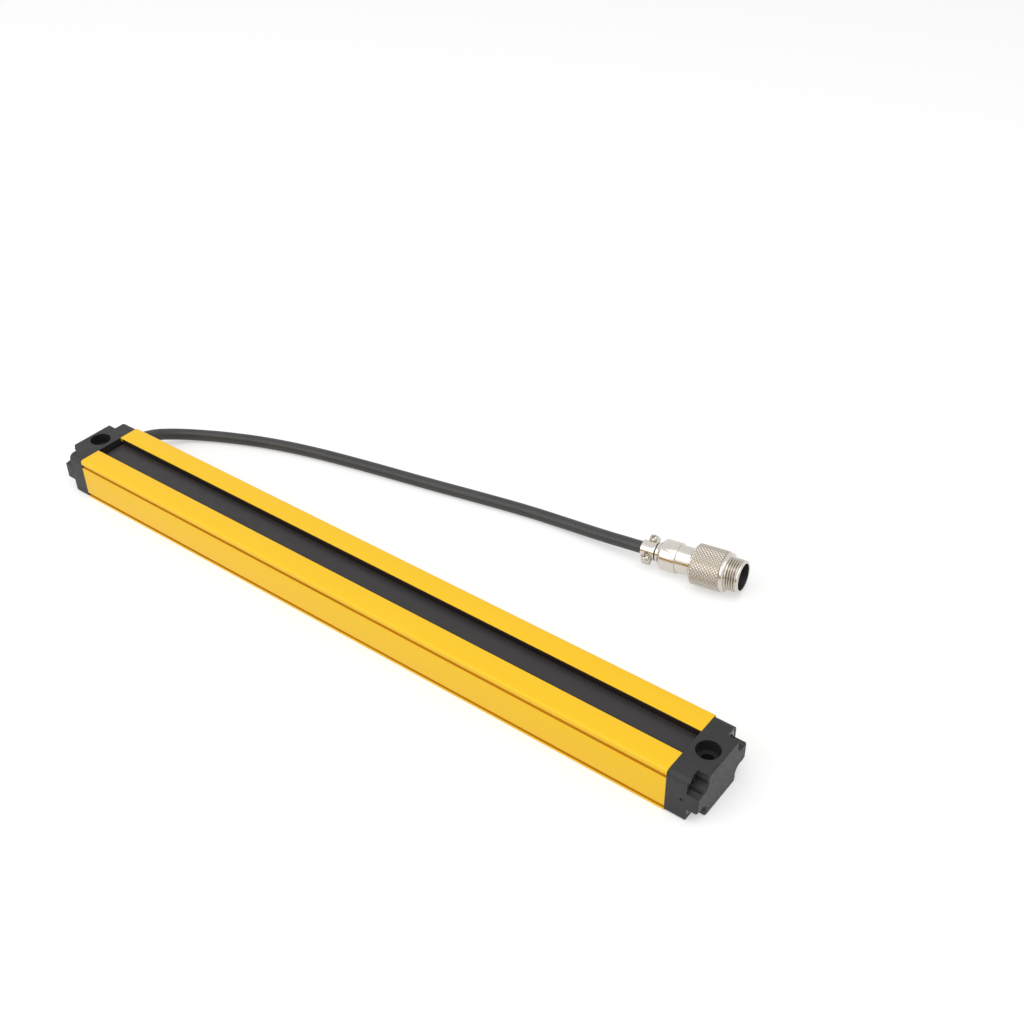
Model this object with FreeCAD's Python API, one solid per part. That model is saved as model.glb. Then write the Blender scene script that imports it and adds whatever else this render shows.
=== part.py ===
import FreeCAD, Part
import math
import os

from FreeCAD import Placement, Rotation, Vector

# Safety light curtain bar: a slim aluminium profile with a dark front window,
# closed by two screwed end caps, with a short cable and a threaded connector.
# Frame: origin at the middle of the bar on the face it lies on, +X along the
# bar, +Y towards the cable side, +Z towards the window. Millimetres.

# Housing profile
profile_length = 262.0
profile_width = 28.0
profile_height = 17.2
side_wall = 2.0
floor_wall = 1.8
top_lip = 1.7
top_edge_radius = 2.2
bottom_edge_radius = 0.5
slot_width = 10.7

# Grooves that run along both sides of the profile
groove_depth = 0.7
upper_groove_z = 13.8
upper_groove_height = 1.4
lower_groove_z = 0.9
lower_groove_height = 1.2

# Window, its seals and the rails that hold it
window_width = 14.0
window_thickness = 1.5
seal_thickness = 0.5
seal_lining = 0.35
seal_lining_drop = 0.2
window_end_gap = 1.4
ledge_overlap = 1.2
ledge_thickness = 1.3
rail_thickness = 1.6
window_clearance = 0.1

# Cap screws and the channels that they bite into
screw_y = 10.9
screw_inset_z = 3.0
screw_shank_radius = 1.2
screw_length = 14.0
screw_head_radius = 2.25
screw_head_height = 2.0
screw_socket_width = 2.0
screw_socket_depth = 1.2
screw_port_clearance = 0.05
screw_hole_clearance = 0.4
port_wall = 1.3

# End caps
cap_flange = 7.0
cap_block = 4.0
cap_bottom_radius = 1.2
cap_edge = 0.4
scallop_radius = 5.5
head_seat_depth = 2.0
head_seat_clearance = 0.1
mount_hole_offset = 5.5
mount_hole_radius = 2.25
counterbore_radius = 3.9
counterbore_depth = 4.0
gate_mark_radius = 0.6
gate_mark_depth = 0.3

# Gasket between a cap and the profile
gasket_thickness = 0.5
gasket_inset = 0.8
gasket_clearance = 0.1
gasket_screw_clearance = 0.15
gasket_corner_radius = 0.4
gasket_opening_width = 16.8
gasket_opening_height = 8.4

# Circuit board and what is soldered to it
board_lift = 0.85
board_thickness = 1.6
board_clearance = 0.1
board_end_gap = 2.0
board_rib = 1.8
board_rib_height = 1.1
chip_length = 9.9
chip_width = 3.9
chip_height = 1.4
chip_lead_reach = 1.0
chip_lead_width = 0.4
chip_lead_pitch = 1.27
chip_leads_per_side = 8
chip_count = 3
chips_apart = 60.0
header_length = 5.5
header_width = 3.6
header_gap = 2.0
header_side_gap = 0.3
header_top_gap = 0.4

# Beam optics
beam_count = 8
beam_end_margin = 26.0
carrier_width = 10.8
carrier_end_margin = 15.0
carrier_window_gap = 0.3
lens_radius = 3.9
lens_rim = 1.0
lens_dome = 0.7
lens_dome_radius = 1.6
lens_clearance = 0.1
lens_seat_overlap = 0.5
diode_length = 3.2
diode_width = 2.8
diode_base = 0.7
diode_lens_radius = 1.1
diode_lens_tip_radius = 0.6
diode_lens = 0.8
diode_clearance = 0.2

# Cable, its boot and the leads inside the cap
cable_diameter = 4.6
cable_offset = mount_hole_offset
boot_plug_length = 4.8
boot_plug_radius = 2.35
boot_flange_radius = 3.3
boot_flange = 1.0
boot_neck_radius = 2.9
boot_tip_radius = 2.6
boot_neck = 2.7
boot_neck_start = 0.4
boot_droop = 12.0
boot_clearance = 0.05
lead_radius = 0.9
lead_bend_run = 3.0
lead_straight = 2.5
pocket_depth = 8.3
pocket_width = 4.4
pocket_height = 6.0

# Connector, by stations along its axis from the rear of the cable clamp
connector_along = 199.7
connector_across = 66.1
connector_floor_gap = 0.05
connector_heading = 6.25
connector_tilt = 3.5
clamp_roll = 29.0
clamp_length = 4.5
clamp_inner_radius = 2.4
clamp_outer_radius = 3.2
clamp_gap = 0.3
clamp_ear_reach = 5.4
clamp_ear_thickness = 1.2
clamp_ear_length = 3.2
clamp_ring_radius = 3.5
clamp_ring = 0.9
clamp_neck_radius = 2.8
clamp_neck = 0.5
cable_seal_radius = 3.3
clamp_screw_spacing = 7.8
clamp_screw_radius = 0.8
clamp_screw_head_radius = 1.5
clamp_screw_head = 1.2
clamp_screw_clearance = 0.2
clamp_head_clearance = 0.15
clamp_end_gap = 0.1
clamp_screw_tail = 0.8
barrel_radius = 5.7
barrel_neck_radius = 5.1
barrel_step = 14.35
barrel_end = 25.0
barrel_chamfer = 1.1
barrel_boss_radius = 3.65
barrel_boss = 1.4
barrel_cable_bore = 2.4
barrel_inner_bore = 3.2
barrel_cable_depth = 3.0
barrel_stop_bore = 1.9
barrel_stop = 1.0
shell_start = 20.1
shell_radius = 7.45
shell_chamfer = 0.8
knurl_end = 31.8
shell_collar_radius = 7.2
thread_start = 33.4
thread_radius = 6.0
thread_chamfer = 0.5
connector_length = 38.6
shell_bore = 4.9
shell_web_radius = 3.4
shell_web_start = 25.0
shell_web = 2.0
shell_clearance = 0.05
insulator_length = 4.0
insulator_clearance = 0.05
pin_radius = 0.5
pin_count = 4
pin_circle = 2.3
pin_tail = 1.2
pin_reach = 2.8
pin_clearance = 0.02
pin_collar_radius = 0.8
pin_collar = 0.5
pin_tip = 0.5
pin_tip_radius = 0.25

# Derived sizes
half_length = profile_length / 2
half_width = profile_width / 2
window_top = profile_height - top_lip - seal_thickness
window_bottom = window_top - window_thickness
inner_half_width = half_width - side_wall
port_radius = screw_shank_radius + screw_port_clearance
board_z = screw_inset_z + port_radius + port_wall + board_lift
board_top = board_z + board_thickness
carrier_top = window_bottom - carrier_window_gap
header_top = window_bottom - ledge_thickness - header_top_gap
beam_pitch = (profile_length - 2 * beam_end_margin) / (beam_count - 1)
cap_length = cap_flange + cap_block
cable_exit_x = -half_length - cable_offset
screw_heights = (screw_inset_z, profile_height - screw_inset_z)
mid_height = profile_height / 2
clamp_end = clamp_length + clamp_ring + clamp_neck

# Cable route between the boot and the connector. Each point gives its distance along
# the bar and away from the bar, counted from the cable's exit, and its height. The cable
# falls to the floor, runs along it and rises again to the connector's axis.
floor_route = [
    (0.9, 11.6, 6.0),
    (4.1, 17.9, 4.0),
    (9.9, 23.8, 2.7),
    (21.0, 30.2, 2.4),
    (37.0, 37.2, 2.4),
    (56.5, 43.3, 2.4),
    (80.5, 48.7, 2.4),
    (105.5, 53.6, 2.4),
    (128.5, 58.6, 2.4),
    (149.9, 63.0, 2.4),
    (167.5, 65.0, 2.8),
    (181.9, 65.2, 4.3),
]
route_first_run = 3.2
route_last_run_start = -4.0


def box(x0, x1, y0, y1, z0, z1):
    """Block between two corners."""
    return Part.makeBox(x1 - x0, y1 - y0, z1 - z0, Vector(x0, y0, z0))


def rod(radius, start, end):
    """Cylinder from one point to another."""
    axis = end - start
    return Part.makeCylinder(radius, axis.Length, start, axis)


def rounded_outline(half_y, z0, z1, low_radius, high_radius):
    """Closed section in the YZ plane with rounded lower and upper corners."""
    def corner(y, z, dy, dz, radius):
        centre_y = y - dy * radius
        centre_z = z - dz * radius
        middle = radius * math.sqrt(0.5)
        side = Vector(0, y, centre_z)
        face = Vector(0, centre_y, z)
        bulge = Vector(0, centre_y + dy * middle, centre_z + dz * middle)
        return side, bulge, face

    right_low = corner(half_y, z0, 1, -1, low_radius)
    right_high = corner(half_y, z1, 1, 1, high_radius)
    left_high = corner(-half_y, z1, -1, 1, high_radius)
    left_low = corner(-half_y, z0, -1, -1, low_radius)
    edges = [
        Part.Arc(right_low[2], right_low[1], right_low[0]).toShape(),
        Part.LineSegment(right_low[0], right_high[0]).toShape(),
        Part.Arc(right_high[0], right_high[1], right_high[2]).toShape(),
        Part.LineSegment(right_high[2], left_high[2]).toShape(),
        Part.Arc(left_high[2], left_high[1], left_high[0]).toShape(),
        Part.LineSegment(left_high[0], left_low[0]).toShape(),
        Part.Arc(left_low[0], left_low[1], left_low[2]).toShape(),
        Part.LineSegment(left_low[2], right_low[2]).toShape(),
    ]
    return Part.Face(Part.Wire(edges))


def prism(face, x0, x1):
    """Section in the YZ plane extruded from x0 to x1."""
    moved = face.translated(Vector(x0, 0, 0))
    return moved.extrude(Vector(x1 - x0, 0, 0))


def revolved(stations):
    """Solid turned about the X axis from (x, radius) pairs, closed on the axis line."""
    points = [Vector(x, radius, 0) for x, radius in stations]
    points.append(points[0])
    face = Part.Face(Part.makePolygon(points))
    return face.revolve(Vector(0, 0, 0), Vector(1, 0, 0), 360)


def merged(shape):
    """The shape with its seams removed, as a single solid."""
    clean = shape.removeSplitter()
    return clean.Solids[0] if len(clean.Solids) == 1 else clean


def screw_places():
    """The four cap screw axes as (y, z) pairs."""
    return [(side * screw_y, z) for side in (-1, 1) for z in screw_heights]


def housing_profile():
    """Extruded housing: open slot on top, window rails, board ribs and screw channels."""
    start, end = -half_length, half_length
    outer = prism(rounded_outline(half_width, 0, profile_height, bottom_edge_radius, top_edge_radius), start, end)
    body = outer.cut(box(start, end, -inner_half_width, inner_half_width, floor_wall, profile_height - top_lip))

    rail_outer = window_width / 2 + window_clearance + rail_thickness
    ledge_inner = window_width / 2 + window_clearance - ledge_overlap
    additions = []
    for side in (-1, 1):
        def strip(y_near, y_far, z0, z1):
            low, high = sorted((side * y_near, side * y_far))
            return box(start, end, low, high, z0, z1)

        rail_top = profile_height - top_lip
        additions.append(strip(rail_outer - rail_thickness, rail_outer, window_bottom - ledge_thickness, rail_top))
        additions.append(strip(ledge_inner, rail_outer, window_bottom - ledge_thickness, window_bottom))
        rib_inner = inner_half_width - board_rib
        additions.append(strip(rib_inner, inner_half_width, board_z - board_rib_height, board_z))
        above_board = board_top + board_clearance
        additions.append(strip(rib_inner, inner_half_width, above_board, above_board + board_rib_height))
        for z in screw_heights:
            channel = rod(port_radius + port_wall, Vector(start, side * screw_y, z), Vector(end, side * screw_y, z))
            additions.append(channel.common(outer))
    body = body.fuse(additions)

    cuts = [box(start, end, -slot_width / 2, slot_width / 2, window_top, profile_height)]
    for y, z in screw_places():
        cuts.append(rod(port_radius, Vector(start, y, z), Vector(end, y, z)))
    for z, height in ((upper_groove_z, upper_groove_height), (lower_groove_z, lower_groove_height)):
        cuts.append(box(start, end, half_width - groove_depth, half_width, z, z + height))
        cuts.append(box(start, end, -half_width, groove_depth - half_width, z, z + height))
    return merged(body.cut(cuts))


def front_window():
    """Dark infrared-pass strip that lies on the ledges of the profile."""
    half = window_width / 2
    return box(window_end_gap - half_length, half_length, -half, half, window_bottom, window_top)


def window_seal(side):
    """L-shaped rubber strip over the window's edge that lines the slot wall."""
    slot_half = slot_width / 2
    start, end = window_end_gap - half_length, half_length
    foot = box(start, end, slot_half - seal_lining, window_width / 2, window_top, window_top + seal_thickness)
    lining_top = profile_height - seal_lining_drop
    lining = box(start, end, slot_half - seal_lining, slot_half, window_top, lining_top)
    strip = merged(foot.fuse(lining))
    return strip if side > 0 else strip.mirror(Vector(0, 0, 0), Vector(0, 1, 0))


def cap_outline(inset=0.0):
    """Section of an end cap, or of the gasket when it is inset."""
    return rounded_outline(
        half_width - inset,
        inset,
        profile_height - inset,
        max(cap_bottom_radius - inset, gasket_corner_radius),
        max(top_edge_radius - inset, gasket_corner_radius),
    )


def end_cap():
    """Moulded cap for the right end, with its inner face on the YZ plane."""
    flange = prism(cap_outline(), 0, cap_flange)
    block = prism(cap_outline(), cap_flange, cap_length)
    corners = [(side * half_width, z) for side in (-1, 1) for z in (0, profile_height)]
    head_hole = screw_head_radius + head_seat_clearance
    scallops = [rod(scallop_radius, Vector(cap_flange, y, z), Vector(cap_length, y, z)) for y, z in corners]
    scallops += [rod(head_hole, Vector(cap_flange, y, z), Vector(cap_length, y, z)) for y, z in screw_places()]
    block = merged(block.cut(scallops))
    end_edges = [
        edge for edge in block.Edges
        if abs(edge.BoundBox.XMin - cap_length) < 1e-6 and abs(edge.BoundBox.XMax - cap_length) < 1e-6
    ]
    block = block.makeChamfer(cap_edge, end_edges)
    cap = flange.fuse(block)

    hole = mount_hole_offset
    top = profile_height
    cuts = [
        prism(cap_outline(gasket_inset), 0, gasket_thickness),
        rod(mount_hole_radius, Vector(hole, 0, 0), Vector(hole, 0, top)),
        rod(counterbore_radius, Vector(hole, 0, top - counterbore_depth), Vector(hole, 0, top)),
        rod(gate_mark_radius, Vector(cable_offset, gate_mark_depth - half_width, mid_height),
            Vector(cable_offset, -half_width, mid_height)),
    ]
    shank_hole = screw_shank_radius + screw_hole_clearance
    for y, z in screw_places():
        cuts.append(rod(shank_hole, Vector(0, y, z), Vector(cap_flange, y, z)))
        cuts.append(rod(head_hole, Vector(cap_flange - head_seat_depth, y, z), Vector(cap_flange, y, z)))
    return merged(cap.cut(cuts))


def at_right_end(shape):
    """Move a piece made on the YZ plane to the right end of the profile."""
    return shape.translated(Vector(half_length, 0, 0))


def at_left_end(shape):
    """The same piece turned half round for the left end."""
    turned = shape.copy()
    turned.rotate(Vector(0, 0, 0), Vector(0, 0, 1), 180)
    return turned.translated(Vector(-half_length, 0, 0))


def end_cap_left():
    """Left cap with the cable hole and the pocket where the leads turn into the profile."""
    cap = at_left_end(end_cap())
    cable_x = cable_exit_x
    pocket_outer_y = half_width - boot_plug_length
    hole = rod(boot_plug_radius + boot_clearance, Vector(cable_x, pocket_outer_y, mid_height),
               Vector(cable_x, half_width, mid_height))
    pocket = box(-half_length - pocket_depth, -half_length, pocket_outer_y - pocket_width, pocket_outer_y,
                 mid_height - pocket_height / 2, mid_height + pocket_height / 2)
    return merged(cap.cut([hole, pocket]))


def end_gasket():
    """Flat rubber gasket that lies in the recess of a cap."""
    plate = prism(cap_outline(gasket_inset + gasket_clearance), 0, gasket_thickness)
    half_y = gasket_opening_width / 2
    half_z = gasket_opening_height / 2
    cuts = [box(0, gasket_thickness, -half_y, half_y, mid_height - half_z, mid_height + half_z)]
    radius = screw_shank_radius + gasket_screw_clearance
    for y, z in screw_places():
        cuts.append(rod(radius, Vector(0, y, z), Vector(gasket_thickness, y, z)))
    return merged(plate.cut(cuts))


def hexagon(across_flats, x0, x1):
    """Hexagonal prism along X."""
    radius = across_flats / math.sqrt(3)
    corners = [
        Vector(x0, radius * math.cos(math.radians(60 * k)), radius * math.sin(math.radians(60 * k)))
        for k in range(7)
    ]
    return Part.Face(Part.makePolygon(corners)).extrude(Vector(x1 - x0, 0, 0))


def cap_screws():
    """Four socket screws that hold a cap, heads seated in its corner pockets."""
    seat = cap_flange - head_seat_depth
    tip = seat - screw_length
    shank = rod(screw_shank_radius, Vector(tip, 0, 0), Vector(seat, 0, 0))
    head = rod(screw_head_radius, Vector(seat, 0, 0), Vector(seat + screw_head_height, 0, 0))
    face = seat + screw_head_height
    screw = merged(shank.fuse(head)).cut(hexagon(screw_socket_width, face - screw_socket_depth, face))
    return Part.makeCompound([screw.translated(Vector(0, y, z)) for y, z in screw_places()])


def beam_places():
    """Positions of the beams along the bar."""
    first = -(beam_count - 1) * beam_pitch / 2
    return [first + index * beam_pitch for index in range(beam_count)]


def circuit_board():
    """Board that slides into the ribs of the profile."""
    half_y = inner_half_width - board_clearance
    end = half_length - board_end_gap
    return box(-end, end, -half_y, half_y, board_z, board_top)


def beam_diode(x):
    """Surface-mounted infrared diode: a square base with a short tapered lens."""
    half_x = diode_length / 2
    half_y = diode_width / 2
    lens_foot = board_top + diode_base
    base = box(x - half_x, x + half_x, -half_y, half_y, board_top, lens_foot)
    tip = Part.makeCone(diode_lens_radius, diode_lens_tip_radius, diode_lens, Vector(x, 0, lens_foot), Vector(0, 0, 1))
    return merged(base.fuse(tip))


def lens_seat_height():
    """Height of the ledge that a lens rim rests on."""
    return carrier_top - lens_rim


def optics_carrier():
    """Black moulded bar with a stepped, tapered light well for each beam."""
    half_x = (beam_count - 1) * beam_pitch / 2 + carrier_end_margin
    half_y = carrier_width / 2
    carrier = box(-half_x, half_x, -half_y, half_y, board_top, carrier_top)
    well_low = diode_lens_radius + diode_clearance
    well_high = lens_radius - lens_seat_overlap
    seat = lens_seat_height()
    cone_start = board_top + diode_base + diode_clearance
    base_x = diode_length / 2 + diode_clearance
    base_y = diode_width / 2 + diode_clearance
    wells = []
    for x in beam_places():
        wells.append(box(x - base_x, x + base_x, -base_y, base_y, board_top, cone_start))
        wells.append(Part.makeCone(well_low, well_high, seat - cone_start, Vector(x, 0, cone_start), Vector(0, 0, 1)))
        wells.append(rod(lens_radius + lens_clearance, Vector(x, 0, seat), Vector(x, 0, carrier_top)))
    return merged(carrier.cut(wells))


def lens(x):
    """Plano-convex lens: a flat rim on its seat and a shallow dome towards the diode."""
    seat = lens_seat_height()
    rim = rod(lens_radius, Vector(x, 0, seat), Vector(x, 0, carrier_top))
    dome_edge = lens_radius - lens_seat_overlap - lens_clearance
    dome = Part.makeCone(lens_dome_radius, dome_edge, lens_dome, Vector(x, 0, seat - lens_dome), Vector(0, 0, 1))
    return merged(rim.fuse(dome))


def drive_chip(x):
    """Flat-pack chip under the board, with a row of leads on each side."""
    top = board_z
    standoff = board_z - chip_height
    body = box(x - chip_length / 2, x + chip_length / 2, -chip_width / 2, chip_width / 2, standoff, top)
    lead_height = chip_height / 2
    first = -(chip_leads_per_side - 1) * chip_lead_pitch / 2
    leads = []
    for index in range(chip_leads_per_side):
        left = x + first + index * chip_lead_pitch - chip_lead_width / 2
        for side in (-1, 1):
            low, high = sorted((side * chip_width / 2, side * (chip_width / 2 + chip_lead_reach)))
            leads.append(box(left, left + chip_lead_width, low, high, top - lead_height, top))
    return merged(body.fuse(leads))


def header_start():
    """Rear face of the board's lead header along the bar."""
    return header_gap + board_end_gap - half_length


def header_side():
    """Near face of the header, clear of the optics carrier."""
    return carrier_width / 2 + header_side_gap


def board_header():
    """Lead header on the board beside the optics carrier."""
    x0 = header_start()
    y0 = header_side()
    return box(x0, x0 + header_length, y0, y0 + header_width, board_top, header_top)


def tube(points, radius):
    """Round tube along straight runs joined by tangent arcs, and the arc radii."""
    runs = [(after - before).Length for before, after in zip(points, points[1:])]
    edges = []
    radii = []
    start = points[0]
    for index in range(1, len(points) - 1):
        before = points[index] - points[index - 1]
        after = points[index + 1] - points[index]
        before.normalize()
        after.normalize()
        setback = 0.45 * min(runs[index - 1], runs[index])
        half_turn = before.getAngle(after) / 2
        bend = setback / math.tan(half_turn)
        inward = after - before
        inward.normalize()
        centre = points[index] + inward * (bend / math.cos(half_turn))
        arc_start = points[index] - before * setback
        arc_end = points[index] + after * setback
        edges.append(Part.LineSegment(start, arc_start).toShape())
        edges.append(Part.Arc(arc_start, centre - inward * bend, arc_end).toShape())
        radii.append(bend)
        start = arc_end
    edges.append(Part.LineSegment(start, points[-1]).toShape())
    path = Part.Wire(edges)
    section = Part.Wire([Part.Circle(points[0], points[1] - points[0], radius).toShape()])
    swept = path.makePipeShell([section], True, False)
    return swept, radii, path.Length


def boot_point(distance):
    """Point on the boot's drooping neck, by its distance from the neck's start."""
    droop = math.radians(boot_droop)
    start = Vector(cable_exit_x, half_width + boot_neck_start, mid_height)
    return start + Vector(0, math.cos(droop), -math.sin(droop)) * distance


def connector_point(station):
    """Point on the connector's axis, by its distance from the rear of the clamp."""
    return connector_placement().multVec(Vector(station, 0, 0))


def cable():
    """Free cable from the boot's tip to the stop inside the connector."""
    leaving = [boot_point(boot_neck), boot_point(boot_neck + route_first_run)]
    along_floor = [Vector(cable_exit_x + along, half_width + away, height) for along, away, height in floor_route]
    arriving = [connector_point(route_last_run_start), connector_point(clamp_end + barrel_cable_depth)]
    swept, radii, length = tube(leaving + along_floor + arriving, cable_diameter / 2)
    expected = math.pi * (cable_diameter / 2) ** 2 * length
    print("cable length %.1f mm, bends %s mm" % (length, ", ".join("%.0f" % bend for bend in radii)))
    print("cable volume %.1f, section times length %.1f" % (swept.Volume, expected))
    return swept


def cable_boot():
    """Rubber boot: a plug in the cap's side and a short drooping neck round the cable."""
    x = cable_exit_x
    face = half_width
    plug = rod(boot_plug_radius, Vector(x, face - boot_plug_length, mid_height), Vector(x, face, mid_height))
    flange = rod(boot_flange_radius, Vector(x, face, mid_height), Vector(x, face + boot_flange, mid_height))
    direction = boot_point(1) - boot_point(0)
    neck = Part.makeCone(boot_neck_radius, boot_tip_radius, boot_neck, boot_point(0), direction)
    neck = neck.cut(box(x - boot_flange_radius, x + boot_flange_radius, 0, face + boot_neck_start, 0, profile_height))
    return merged(plug.fuse([flange, neck]))


def lead_bundle():
    """Bundled leads from the boot's inner end to the header on the board."""
    x = cable_exit_x
    inner = half_width - boot_plug_length
    header_y = header_side() + header_width / 2
    header_z = (board_top + header_top) / 2
    points = [
        Vector(x, inner, mid_height),
        Vector(x, inner - lead_bend_run, mid_height),
        Vector(header_start() - lead_straight, header_y, header_z),
        Vector(header_start(), header_y, header_z),
    ]
    return tube(points, lead_radius)[0]


def connector_placement():
    """Where the connector lies: on the rear edge of its knurl, nose up by its tilt."""
    tilt = math.radians(connector_tilt)
    knurl_edge = shell_start + shell_chamfer
    height = shell_radius * math.cos(tilt) - knurl_edge * math.sin(tilt) + connector_floor_gap
    rear = Vector(cable_exit_x + connector_along, half_width + connector_across, height)
    heading = Rotation(Vector(0, 0, 1), connector_heading)
    nose_up = Rotation(Vector(0, 1, 0), -connector_tilt)
    return Placement(rear, heading.multiply(nose_up))


def placed(shape):
    """A connector piece made on the X axis, put where the connector lies."""
    moved = shape.copy()
    moved.Placement = connector_placement().multiply(moved.Placement)
    return moved


def rolled(shape):
    """A clamp piece made with its screws upright, turned about the axis to face its side."""
    turned = shape.copy()
    turned.rotate(Vector(0, 0, 0), Vector(1, 0, 0), clamp_roll)
    return turned


def clamp_ear_start():
    """Start of the clamp's ears along the axis, next to its ring."""
    return clamp_length - clamp_end_gap - clamp_ear_length


def clamp_half(side):
    """Half ring and two ears of the cable clamp, above or below the split plane."""
    ring = rod(clamp_outer_radius, Vector(0, 0, 0), Vector(clamp_length, 0, 0))
    reach = clamp_ear_reach
    low, high = sorted((side * clamp_gap / 2, side * (clamp_gap / 2 + clamp_ear_thickness)))
    start = clamp_ear_start()
    ears = box(start, start + clamp_ear_length, -reach, reach, low, high)
    half = ring.fuse(ears).cut(rod(clamp_inner_radius, Vector(0, 0, 0), Vector(clamp_length, 0, 0)))
    keep_low, keep_high = sorted((side * clamp_gap / 2, side * reach))
    return half.common(box(0, clamp_length, -reach, reach, keep_low, keep_high))


def clamp_screw_places():
    """Clamp screw axes as (x, y) pairs."""
    middle = clamp_ear_start() + clamp_ear_length / 2
    return [(middle, side * clamp_screw_spacing / 2) for side in (-1, 1)]


def clamp_base():
    """Lower clamp half with the ring and neck that join it to the barrel."""
    ring_end = clamp_length + clamp_ring
    ring = revolved([
        (clamp_length, clamp_inner_radius), (clamp_length, clamp_ring_radius),
        (ring_end, clamp_ring_radius), (ring_end, clamp_neck_radius),
        (clamp_end, clamp_neck_radius), (clamp_end, clamp_inner_radius),
    ])
    base = clamp_half(-1).fuse(ring)
    for x, y in clamp_screw_places():
        base = base.cut(rod(clamp_screw_radius, Vector(x, y, -clamp_ear_reach), Vector(x, y, 0)))
    return placed(rolled(merged(base)))


def clamp_saddle():
    """Upper clamp half with clearance holes and flat seats for the two screws."""
    reach = clamp_ear_reach
    saddle = clamp_half(1).common(box(0, clamp_length - clamp_end_gap, -reach, reach, 0, reach))
    radius = clamp_screw_radius + clamp_screw_clearance
    head_radius = clamp_screw_head_radius + clamp_head_clearance
    seat = clamp_gap / 2 + clamp_ear_thickness
    for x, y in clamp_screw_places():
        hole = rod(radius, Vector(x, y, 0), Vector(x, y, reach))
        saddle = saddle.cut([hole, rod(head_radius, Vector(x, y, seat), Vector(x, y, reach))])
    return placed(rolled(merged(saddle)))


def clamp_screws():
    """Two pan head screws across the clamp."""
    seat = clamp_gap / 2 + clamp_ear_thickness
    tip = -seat - clamp_screw_tail
    screws = []
    for x, y in clamp_screw_places():
        shank = rod(clamp_screw_radius, Vector(x, y, tip), Vector(x, y, seat))
        head = rod(clamp_screw_head_radius, Vector(x, y, seat), Vector(x, y, seat + clamp_screw_head))
        crown = [edge for edge in head.Edges if abs(edge.BoundBox.ZMin - seat - clamp_screw_head) < 1e-6]
        head = head.makeChamfer(clamp_screw_head / 2, crown)
        screws.append(placed(rolled(merged(shank.fuse(head)))))
    return Part.makeCompound(screws)


def cable_seal():
    """Rubber ring between the clamp's ring and the barrel."""
    start = clamp_length + clamp_ring
    ring = revolved([
        (start, clamp_neck_radius), (start, cable_seal_radius),
        (clamp_end, cable_seal_radius), (clamp_end, clamp_neck_radius),
    ])
    return placed(ring)


def connector_barrel():
    """Turned rear barrel, bored for the cable up to a stop and then for its soldered leads."""
    stop = clamp_end + barrel_cable_depth
    face = clamp_end + barrel_boss
    barrel = revolved([
        (clamp_end, barrel_cable_bore), (clamp_end, barrel_boss_radius), (face, barrel_boss_radius),
        (face, barrel_radius - barrel_chamfer), (face + barrel_chamfer, barrel_radius), (barrel_step, barrel_radius),
        (barrel_step, barrel_neck_radius), (barrel_end, barrel_neck_radius),
        (barrel_end, barrel_inner_bore), (stop + barrel_stop, barrel_inner_bore),
        (stop + barrel_stop, barrel_stop_bore), (stop, barrel_stop_bore),
        (stop, barrel_cable_bore),
    ])
    return placed(barrel)


def coupling_shell():
    """Knurled and threaded shell with an inner web that the insulator rests on."""
    web_end = shell_web_start + shell_web
    rear_bore = barrel_neck_radius + shell_clearance
    shell = revolved([
        (shell_start, rear_bore), (shell_start, shell_radius - shell_chamfer),
        (shell_start + shell_chamfer, shell_radius), (knurl_end, shell_radius),
        (knurl_end, shell_collar_radius), (thread_start, shell_collar_radius),
        (thread_start, thread_radius), (connector_length - thread_chamfer, thread_radius),
        (connector_length, thread_radius - thread_chamfer), (connector_length, shell_bore),
        (web_end, shell_bore), (web_end, shell_web_radius),
        (shell_web_start, shell_web_radius), (shell_web_start, rear_bore),
    ])
    return placed(shell)


def pin_places():
    """Contact pin axes as (y, z) pairs on their circle."""
    return [
        (pin_circle * math.cos(math.radians(45 + 90 * index)), pin_circle * math.sin(math.radians(45 + 90 * index)))
        for index in range(pin_count)
    ]


def connector_insulator():
    """Round insulator that holds the contact pins."""
    start = shell_web_start + shell_web
    end = start + insulator_length
    disc = rod(shell_bore - insulator_clearance, Vector(start, 0, 0), Vector(end, 0, 0))
    holes = [rod(pin_radius + pin_clearance, Vector(start, y, z), Vector(end, y, z)) for y, z in pin_places()]
    return placed(merged(disc.cut(holes)))


def contact_pin(y, z):
    """One straight contact pin with a tapered tip and a collar behind the insulator."""
    face = shell_web_start + shell_web
    end = face + insulator_length + pin_reach
    shank = rod(pin_radius, Vector(face - pin_tail, y, z), Vector(end - pin_tip, y, z))
    collar = rod(pin_collar_radius, Vector(face - pin_collar, y, z), Vector(face, y, z))
    tip = Part.makeCone(pin_radius, pin_tip_radius, pin_tip, Vector(end - pin_tip, y, z), Vector(1, 0, 0))
    return placed(merged(shank.fuse([collar, tip])))


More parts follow.
